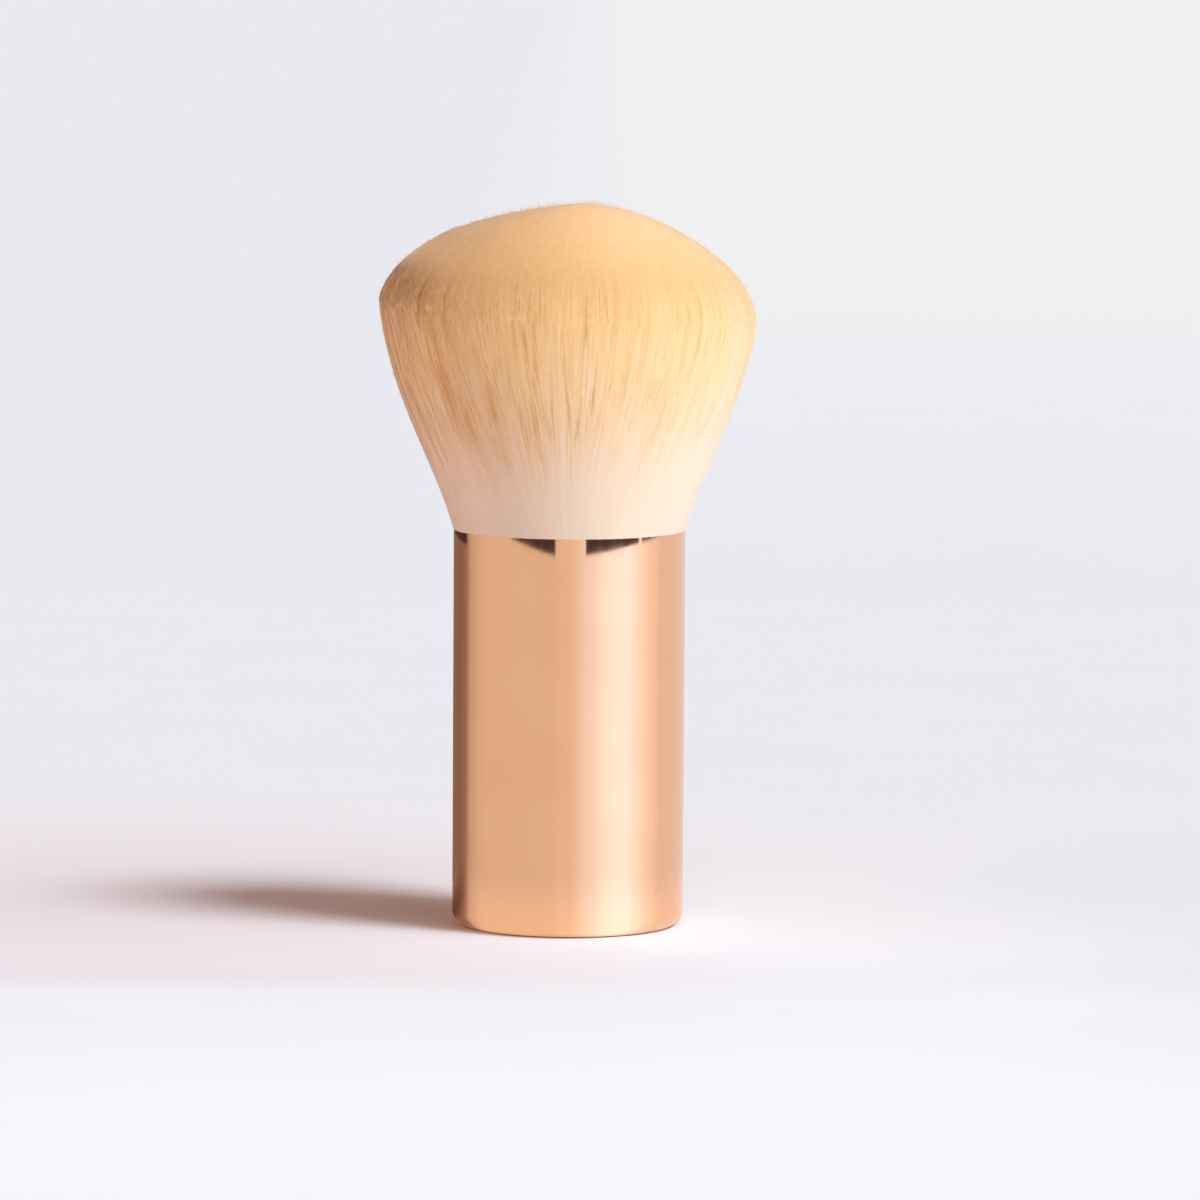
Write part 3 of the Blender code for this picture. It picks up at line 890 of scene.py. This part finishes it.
def crown_filaments(chance, count, inner_share, outer_share, length):
    """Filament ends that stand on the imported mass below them, fanned out towards the rim."""
    share = np.sqrt(chance.uniform(inner_share**2, outer_share**2, size=(count, 1)))
    angle = chance.uniform(0.0, TURN, size=(count, 1))
    radius = share * rim_radius(angle)
    clump = wave_sum(chance, angle, CLUMPS_ROUND)
    clump = clump * wave_sum(chance, radius / HEAD_RADIUS * CLUMP_PHASE, CLUMPS_INWARDS)
    top = crown_height(radius, angle) + CLUMP_HEIGHT * clump
    top = top + CROWN_RAGGEDNESS * chance.normal(size=(count, 1))
    fan = SHOULDER_SLOPE * share + CROWN_FAN * share**3
    height = top + length * CROWN_LEVELS
    reach = radius + fan * length * CROWN_LEVELS
    side = CROWN_SWAY * chance.normal(size=(count, 1)) * (CROWN_LEVELS + 1.0)
    turn = angle + side / np.maximum(radius, CROWN_SWAY_RADIUS)
    centres = np.stack([reach * np.cos(turn), reach * np.sin(turn), height], axis=2)
    tilt = CROWN_TILT * chance.normal(size=(count, 1, 2)) * (CROWN_LEVELS + 1.0)[:, :, None]
    centres[:, :, :2] += tilt * (1 - share**3)[:, :, None]
    normals = np.repeat(tuft_normals(radius, top, angle), CROWN_LEVELS.size, axis=1)
    widths = CROWN_WIDTHS * chance.uniform(*WIDTH_RANGE, (count, 1))
    tones = place_tones(angle, height_share(top)) + CLUMP_TONE * clump
    tones = tones + CROWN_TONE * chance.normal(size=(count, 1))
    tones = np.repeat(tones, CROWN_LEVELS.size, axis=1)
    twists = chance.uniform(0.0, TURN, size=count)
    return centres, normals, widths, tones, height_share(height), twists


# Loose ends. Their lowest and highest place are shares of the way along the outline, from the lip to
# the shoulder (0 to 1) and from there to the apex (1 to 2).
STRAY_LAYERS = (
    ("stray_filaments_side", 41, 2400, 0.45, 1.0),
    ("stray_filaments_crown", 42, 3600, 1.0, 1.9),
)
STRAY_LEVELS = np.array([0.0, 0.5, 1.0])
STRAY_WIDTHS = 0.00004 * np.array([[1.0, 0.8, 0.35]])
STRAY_WIDTH_RANGE = (0.8, 1.2)
STRAY_ROOT = 0.00012
STRAY_SHORTEST = 0.00015
STRAY_LONGEST = 0.00075
STRAY_UPWARDS = 0.9
STRAY_SCATTER = 0.25
STRAY_CURL = 0.12
# The loose ends are pale: a painted rim light along the tuft's outline.
STRAY_TONE = 0.74
STRAY_TONE_SPREAD = 0.06


def stray_filaments(chance, count, lowest, highest):
    """Fine loose ends that stand a little proud of the tuft, and soften its outline."""
    place = chance.uniform(lowest, highest, size=(count, 1))
    angle = chance.uniform(0.0, TURN, size=(count, 1))
    on_side = place < 1.0
    height = LIP_HEIGHT + np.minimum(place, 1.0) * (shoulder_height(angle) - LIP_HEIGHT)
    share = np.clip(2.0 - place, 0.0, 1.0)
    radius = np.where(on_side, surface_radius(height, angle), share * rim_radius(angle))
    height = np.where(on_side, height, crown_height(radius, angle))
    normals = tuft_normals(radius, height, angle)
    rooted = np.stack([radius * np.cos(angle), radius * np.sin(angle), height], axis=2)
    way = normals + np.array([0.0, 0.0, STRAY_UPWARDS])
    way = way + STRAY_SCATTER * chance.normal(size=(count, 1, 3))
    way /= np.linalg.norm(way, axis=2, keepdims=True)
    spare = (STRAY_LONGEST - STRAY_SHORTEST) * chance.random((count, 1, 1)) ** 2
    length = STRAY_SHORTEST + spare
    curl = STRAY_CURL * chance.normal(size=(count, 1, 3))
    steps = STRAY_LEVELS[None, :, None]
    centres = rooted - STRAY_ROOT * way + (STRAY_ROOT + length) * steps * (way + curl * steps)
    normals = np.repeat(normals, STRAY_LEVELS.size, axis=1)
    widths = STRAY_WIDTHS * chance.uniform(*STRAY_WIDTH_RANGE, (count, 1))
    tones = STRAY_TONE + STRAY_TONE_SPREAD * chance.normal(size=(count, 1))
    tones = np.repeat(tones, STRAY_LEVELS.size, axis=1)
    along = height_share(centres[:, :, 2])
    twists = chance.uniform(0.0, TURN, size=count)
    return centres, normals, widths, tones, along, twists


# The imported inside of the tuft. Its radii below the lip are those of the cup and the thread round it.
MASS_SEED = 11
MASS_SIDES = 720
MASS_DEPTH = 0.00011
MASS_CROWN_DEPTH = 0.00006
MASS_RIDGE = 0.00001
MASS_RIDGES = (97, 151, 211)
MASS_RIDGE_SHARE = 0.6
MASS_ROUGH_SHARE = 0.4
MASS_FLARE_STEPS = 30
MASS_CROWN_STEPS = 22
MASS_CENTRE_SHARE = 0.5
BUNDLE_RADIUS = THREAD_HIGH.x
NECK_RADIUS = BUNDLE_RADIUS - 3 * FIT_GAP
NECK_TOP = THREAD_HIGH.z + FIT_GAP
MOUTH_RADIUS = HANDLE_RADIUS - SHELL_WALL - 3 * FIT_GAP
MOUTH_HEIGHT = CUP_HIGH.z + FIT_GAP


def mass_rows():
    """Radii and heights of the mass, from its glued root to just under the crown, ridged like hair."""
    chance = np.random.default_rng(MASS_SEED)
    steps = [(MASS_CENTRE_SHARE * NECK_RADIUS, TUFT_LOW.z), (NECK_RADIUS, TUFT_LOW.z)]
    steps += [(NECK_RADIUS, NECK_TOP), (BUNDLE_RADIUS, NECK_TOP)]
    steps += [(BUNDLE_RADIUS, MOUTH_HEIGHT), (MOUTH_RADIUS, MOUTH_HEIGHT)]
    steps += [(MOUTH_RADIUS, LIP_HEIGHT - ROOT_DROP)]
    rows = [level_row(radius, height, MASS_SIDES) for radius, height in steps]
    angles = even_angles(MASS_SIDES)
    ridge = MASS_RIDGE_SHARE * wave_sum(chance, angles, MASS_RIDGES)
    ridge = ridge + MASS_ROUGH_SHARE * chance.normal(size=MASS_SIDES)
    for share in np.linspace(0.0, 1.0, MASS_FLARE_STEPS):
        height = LIP_HEIGHT + (shoulder_height(angles) - LIP_HEIGHT) * share
        rows.append((surface_radius(height, angles) - MASS_DEPTH + MASS_RIDGE * ridge * share, height))
    rim = rows[-1][0]
    for step in range(1, MASS_CROWN_STEPS):
        share = math.cos(math.pi / 2 * step / MASS_CROWN_STEPS)
        height = crown_height(rim_radius(angles) * share, angles)
        sunk = MASS_DEPTH + (MASS_CROWN_DEPTH - MASS_DEPTH) * (1 - share)
        rows.append((rim * share, height - sunk + MASS_RIDGE * ridge * share))
    return rows


def make_tuft_mass():
    rows = mass_rows()
    top = APEX_HEIGHT - APEX_DROP - MASS_CROWN_DEPTH
    material = new_material("packed_filaments", tuft_mass_finish)
    mass = turned_body("tuft_mass", rows, TUFT_LOW.z, top, material)
    radii, heights = np.array(rows).swapaxes(0, 1)
    facing = tuft_normals(radii, heights, even_angles(MASS_SIDES)[None, :])
    facing = facing.reshape(-1, 3).tolist() + [[0.0, 0.0, -1.0], [0.0, 0.0, 1.0]]
    mass.data.normals_split_custom_set_from_vertices(facing)
    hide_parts("bristles_inner", "bristles_middle", "bristles_outer")
    return mass


def make_tuft():
    pieces = [make_tuft_mass()]
    material = new_material("filaments", filament_finish)
    kinds = (
        (SIDE_LAYERS, side_filaments, SIDE_FLATNESS, SIDE_SHADING),
        (CROWN_LAYERS, crown_filaments, 1.0, CROWN_SHADING),
        (STRAY_LAYERS, stray_filaments, 1.0, CROWN_SHADING),
    )
    for layers, make_strands, flatness, shading in kinds:
        for name, seed, *sizes in layers:
            strands = make_strands(np.random.default_rng(seed), *sizes)
            pieces.append(build_filaments(name, strands, material, flatness, shading))
    return pieces


# Stage, lights and camera. On the floor, aside is towards +X and behind is towards +Y.

BACKDROP = (0.815, 0.807, 0.845)
FLOOR_RADIUS = 12.0
FLOOR_SIDES = 64
# The paper's colour by distance is painted light, palest in front.
FLOOR_STOPS = (
    (-0.150, (0.840, 0.905, 0.985)),
    (-0.070, (0.780, 0.845, 0.940)),
    (-0.045, (0.743, 0.799, 0.895)),
    (0.030, (0.755, 0.795, 0.875)),
    (0.120, (0.760, 0.803, 0.880)),
    (0.500, (0.735, 0.804, 0.898)),
)
FLOOR_FROM = -0.2
FLOOR_TO = 0.6
FLOOR_MOTTLE = 0.006
# A painted glow of light on the paper, far off on the right.
FAR_GLOW = (0.792, 0.865, 0.915)
FAR_GLOW_ASIDE = (-0.045, 0.030)
FAR_GLOW_BEHIND = (0.45, 1.50)
# Painted warm shade on the paper to the left of the brush, on its shadow side.
PAINTED_WARM_SHADE = (1.0, 0.93, 0.935)
PAINTED_WARM_SHADE_ASIDE = (0.030, -0.035)
PAINTED_WARM_SHADE_FRONT = (-0.066, -0.046)
PAINTED_WARM_SHADE_BACK = (0.120, 0.020)
FILL_COLOUR = (1.0, 0.60, 0.49)
FILL_STRENGTH = 0.30
KEY_BEARING = 60.0
KEY_ELEVATION = 46.0
KEY_COLOUR = (0.93, 1.0, 1.0)

# Distant softboxes: name, bearing, elevation, strength, colour, and degrees across
SUNS = (
    ("key", KEY_BEARING, KEY_ELEVATION, 0.84, KEY_COLOUR, 21),
    ("soft_key", KEY_BEARING, KEY_ELEVATION, 0.28, KEY_COLOUR, 55),
    ("warm", -68.0, 15.0, 0.22, (1.0, 0.50, 0.25), 50),
)


def paper_finish(nodes):
    """Pale paper, with painted light: palest in front, a painted glow far off on the right, and painted
    warm shade on the left by the brush.
    """
    parts = nodes.place_parts()
    aside, behind = parts["X"], parts["Y"]
    stops = [((at - FLOOR_FROM) / (FLOOR_TO - FLOOR_FROM), colour) for at, colour in FLOOR_STOPS]
    colour = nodes.ramp(nodes.remap(behind, FLOOR_FROM, FLOOR_TO), stops, "EASE")
    right = nodes.remap(aside, *FAR_GLOW_ASIDE)
    far = nodes.remap(behind, *FAR_GLOW_BEHIND)
    colour = nodes.mix(nodes.multiply(right, far), colour, rgba(FAR_GLOW))
    # warm is the mask of the painted warm shade.
    warm = nodes.remap(aside, *PAINTED_WARM_SHADE_ASIDE)
    for edges in (PAINTED_WARM_SHADE_FRONT, PAINTED_WARM_SHADE_BACK):
        warm = nodes.multiply(warm, nodes.remap(behind, *edges))
    colour = nodes.tint(warm, colour, PAINTED_WARM_SHADE)
    mottle = nodes.from_noise(nodes.noise(scale=30.0, detail=3.0), 0.0, FLOOR_MOTTLE)
    colour = nodes.mix(mottle, colour, rgba(0.0))
    nodes.principled(Base_Color=colour, Roughness=0.8, Specular_IOR_Level=0.1)


def make_floor():
    mesh = bpy.data.meshes.new("floor")
    shape = bmesh.new()
    bmesh.ops.create_circle(shape, cap_ends=True, segments=FLOOR_SIDES, radius=FLOOR_RADIUS)
    shape.to_mesh(mesh)
    shape.free()
    mesh.materials.append(new_material("paper", paper_finish))
    add_object("floor", mesh)


def make_world():
    """A warm fill from all round. The camera and the mirrors see the pale backdrop in its place."""
    world = bpy.data.worlds.new("studio")
    bpy.context.scene.world = world
    nodes = Nodes(world)
    ray = nodes.add("LightPath")
    seen = nodes.math("MAXIMUM", ray.outputs["Is Camera Ray"], ray.outputs["Is Glossy Ray"])
    seen = nodes.math("MAXIMUM", seen, ray.outputs["Is Transmission Ray"])
    fill = nodes.add("Background", {"Color": rgba(FILL_COLOUR), "Strength": FILL_STRENGTH})
    backdrop = nodes.add("Background", {"Color": rgba(BACKDROP), "Strength": 1.0})
    mixed = nodes.add("MixShader", {0: seen, 1: fill, 2: backdrop})
    nodes.set(nodes.add("OutputWorld"), "Surface", mixed)


def make_sun(name, bearing, elevation, strength, colour, degrees_across):
    """At strength 1 a surface that faces the sun renders at its own colour."""
    lamp = bpy.data.lights.new(name, "SUN")
    lamp.energy = math.pi * strength
    lamp.color = colour
    lamp.angle = math.radians(degrees_across)
    sun = add_object(name, lamp)
    sun.rotation_mode = "QUATERNION"
    sun.rotation_quaternion = bearing_direction(bearing, elevation).to_track_quat("Z", "Y")
    return sun


def make_suns(blocker):
    """The first sun's shadow is cast by the blocker alone, and the others' by everything."""
    key, *_ = [make_sun(*sun) for sun in SUNS]
    group = bpy.data.collections.new("key_blockers")
    group.objects.link(blocker)
    key.light_linking.blocker_collection = group


# What the polished wall mirrors: rings of soft cards, which only reflections see. The colours are given
# by the direction that the wall mirrors to the camera, twice the bearing of the place on the wall.
TENT_RADIUS = 0.070
TENT_BASE = 0.00012
TENT_TOP = 0.0600
TENT_FADE = 0.0015
TENT_SIDES = 180
MIRROR_STEPS = 5
STRIP_LIGHT = 1.45
MIRRORED_STOPS = (
    (-180, (0.50, 0.40, 0.36)),
    (-170, (0.25, 0.16, 0.12)),
    (-138, (0.27, 0.17, 0.13)),
    (-127, (0.31, 0.21, 0.16)),
    (-112, (0.645, 0.545, 0.475)),
    (-98, (0.75, 0.67, 0.61)),
    (-88, (0.78, 0.70, 0.61)),
    (-22, (0.79, 0.72, 0.63)),
    (0, (0.86, 0.78, 0.70)),
    (22, (1.01, 1.08, 1.22)),
    (38, (1.27, 1.36, 1.55)),
    (51, (STRIP_LIGHT, STRIP_LIGHT, 1.2 * STRIP_LIGHT)),
    (62, (STRIP_LIGHT, STRIP_LIGHT, 1.2 * STRIP_LIGHT)),
    (73, (1.20, 1.24, 1.38)),
    (90, (1.00, 0.97, 0.98)),
    (106, (0.86, 0.80, 0.78)),
    (166, (0.85, 0.78, 0.77)),
    (180, (0.50, 0.40, 0.36)),
)

# Dark cards: name, first and last bearing, and the height of the low edge at each of them
FLAG_RADIUS = 0.069
FLAG_TOP = 0.0750
FLAG_STEPS = 24
FLAG_LEVEL = (0.065, 0.042, 0.042)
FLAGS = (
    ("flag_edge", -162, -112, 0.0462, 0.0462),
    ("flag_left", -54, -12, 0.0510, 0.0469),
    ("flag_right", 14.6, 66, 0.0471, 0.0494),
    ("flag_sliver", 69.0, 100, 0.0495, 0.0502),
)

# The card on the floor, by the distance from the axis
FLOOR_CARD_INNER = 0.0130
FLOOR_CARD_DARK = 0.0145
FLOOR_CARD_BRIGHT = 0.0180
FLOOR_CARD_TINT = (1.0, 0.96, 0.90)
FLOOR_CARD_GAIN = 1.19
FLOOR_CARD_SHADOW = (0.42, 0.32, 0.28)
FLOOR_CARD_SHADOW_EDGES = (0.0130, 0.0040)
# Painted contact shade round the handle's foot, as the wall mirrors it.
CONTACT_SHADE = (0.30, 0.10, 0.05)


def seen_only_in_mirrors(card):
    for ray in ("camera", "diffuse", "transmission", "volume_scatter", "shadow"):
        setattr(card, "visible_" + ray, False)


def even_steps(start, end, count):
    return [start + (end - start) * step / count for step in range(count + 1)]


def card_ring(name, radius, bearings, lows, top, material):
    """A strip of a standing ring, with its own low edge at each bearing."""
    points, faces = [], []
    for bearing, low in zip(bearings, lows):
        direction = bearing_direction(bearing) * radius
        points += [(direction.x, direction.y, low), (direction.x, direction.y, top)]
    for step in range(len(bearings) - 1):
        start = 2 * step
        faces.append((start, start + 2, start + 3, start + 1))
    mesh = bpy.data.meshes.new(name)
    mesh.from_pydata(points, [], faces)
    mesh.materials.append(material)
    seen_only_in_mirrors(add_object(name, mesh))


def mirrored_glow(nodes):
    """The colour of a card at a point, and the strength that it is to be shown at.

    A round wall of radius r mirrors a point at a bearing b and a distance d from the axis at the
    bearing h where 2 h = b + asin(r / d sin h). A few rounds of that give h, from half of b.
    """
    parts = nodes.place_parts()
    aside, behind = parts["X"], parts["Y"]
    bearing = nodes.math("ARCTAN2", aside, nodes.multiply(behind, -1.0))
    squares = nodes.math("ADD", nodes.multiply(aside, aside), nodes.multiply(behind, behind))
    ratio = nodes.math("DIVIDE", HANDLE_RADIUS, nodes.math("SQRT", squares))
    half = nodes.multiply(bearing, 0.5)
    for _ in range(MIRROR_STEPS):
        bent = nodes.math("ARCSINE", nodes.multiply(ratio, nodes.math("SINE", half)))
        half = nodes.multiply(nodes.math("ADD", bearing, bent), 0.5)
    brightest = max(max(colour) for _, colour in MIRRORED_STOPS)
    stops = [((at + 180) / 360, [part / brightest for part in colour]) for at, colour in MIRRORED_STOPS]
    return nodes.ramp(nodes.remap(half, -math.pi / 2, math.pi / 2), stops, "EASE"), brightest


def tent_finish(nodes):
    """The mirrored glow, faded out at the top."""
    glow = nodes.emission(*mirrored_glow(nodes))
    clear = nodes.add("BsdfTransparent")
    shown = nodes.remap(nodes.place_parts()["Z"], TENT_TOP - TENT_FADE, TENT_TOP, 1.0, 0.0)
    nodes.surface(nodes.add("MixShader", {0: shown, 1: clear, 2: glow}))


def make_tent():
    bearings = even_steps(-180, 180, TENT_SIDES)
    lows = [TENT_BASE] * len(bearings)
    material = new_material("tent_cards", tent_finish)
    card_ring("tent", TENT_RADIUS, bearings, lows, TENT_TOP, material)


def floor_card_finish(nodes):
    """The mirrored glow, brighter and warmer near the handle, with its painted shadow and a painted
    contact shadow at its foot.
    """
    colour, brightest = mirrored_glow(nodes)
    place = nodes.place()
    away = bearing_direction(KEY_BEARING + 180)
    across = (away.y, -away.x, 0.0)
    reach = nodes.add("VectorMath", {0: place}, operation="LENGTH").outputs["Value"]
    along = nodes.add("VectorMath", {0: place, 1: away}, operation="DOT_PRODUCT").outputs["Value"]
    beside = nodes.add("VectorMath", {0: place, 1: across}, operation="DOT_PRODUCT").outputs["Value"]
    close = nodes.remap(reach, FLOOR_CARD_BRIGHT, TENT_RADIUS / 2, 1.0, 0.0)
    colour = nodes.tint(close, colour, FLOOR_CARD_TINT)
    beside = nodes.math("ABSOLUTE", beside)
    shadow = nodes.remap(beside, *FLOOR_CARD_SHADOW_EDGES, kind="SMOOTHSTEP")
    shadow = nodes.multiply(shadow, nodes.remap(along, 0.0, HANDLE_RADIUS))
    shadow = nodes.multiply(shadow, nodes.remap(reach, TENT_RADIUS, FLOOR_CARD_BRIGHT))
    colour = nodes.tint(shadow, colour, FLOOR_CARD_SHADOW)
    # Painted contact shade next to the foot.
    near = nodes.remap(reach, HANDLE_RADIUS - BASE_EDGE_RADIUS, FLOOR_CARD_DARK, 1.0, 0.0)
    colour = nodes.mix(near, colour, rgba(CONTACT_SHADE))
    full = FLOOR_CARD_GAIN * brightest
    gain = nodes.remap(reach, FLOOR_CARD_BRIGHT, TENT_RADIUS, full, brightest)
    nodes.surface(nodes.emission(colour, gain))


def make_floor_card():
    """A flat ring on the floor, which the foot of the wall mirrors."""
    shape = bmesh.new()
    radii = (FLOOR_CARD_INNER, TENT_RADIUS)
    inner, outer = (add_ring(shape, *level_row(radius, TENT_BASE, TENT_SIDES)) for radius in radii)
    for side in range(TENT_SIDES):
        after = (side + 1) % TENT_SIDES
        shape.faces.new((inner[side], outer[side], outer[after], inner[after]))
    material = new_material("floor_card", floor_card_finish)
    seen_only_in_mirrors(finished("floor_card", shape, material))


def flag_finish(nodes):
    nodes.surface(nodes.emission(rgba(FLAG_LEVEL), 1.0))


def make_flags():
    """Dark cards, whose low edges show as dark wedges just under the lip."""
    material = new_material("flag_card", flag_finish)
    for name, start, end, low_start, low_end in FLAGS:
        bearings = even_steps(start, end, FLAG_STEPS)
        lows = even_steps(low_start, low_end, FLAG_STEPS)
        card_ring(name, FLAG_RADIUS, bearings, lows, FLAG_TOP, material)


def make_camera():
    data = bpy.data.cameras.new("camera")
    data.sensor_width = SENSOR_WIDTH_MM
    data.lens = FOCAL_LENGTH_MM
    camera = add_object("camera", data)
    place = Vector((CAMERA_SIDE, -CAMERA_DISTANCE, CAMERA_HEIGHT))
    aim = Vector((CAMERA_SIDE, 0.0, AIM_HEIGHT))
    aimed = (aim - place).to_track_quat("-Z", "Y").to_matrix()
    camera.location = place
    camera.rotation_euler = (aimed @ Matrix.Rotation(CAMERA_ROLL, 3, "Z")).to_euler()
    bpy.context.scene.camera = camera


def dress_hidden_nodes():
    """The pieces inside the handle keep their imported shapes, and get their finishes."""
    finishes = {
        "handle_core": ("core_plastic_moulded", moulded_plastic_finish),
        "base_weight": ("weight_steel_turned", turned_steel_finish),
        "ferrule_cup": ("raw_aluminium_drawn", drawn_aluminium_finish),
        "root_adhesive": ("cured_resin_amber", resin_finish),
        "binding_thread": ("thread_waxed", thread_finish),
    }
    for node, named_finish in finishes.items():
        material = new_material(*named_finish)
        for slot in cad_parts[node].material_slots:
            slot.material = material


def main():
    make_camera()
    make_world()
    make_floor()
    make_tent()
    make_floor_card()
    make_flags()
    dress_hidden_nodes()
    handle = make_handle()
    for piece in [handle, *make_tuft()]:
        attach(piece, "root")
    make_suns(handle)
    bpy.context.scene.view_settings.view_transform = "Standard"


main()
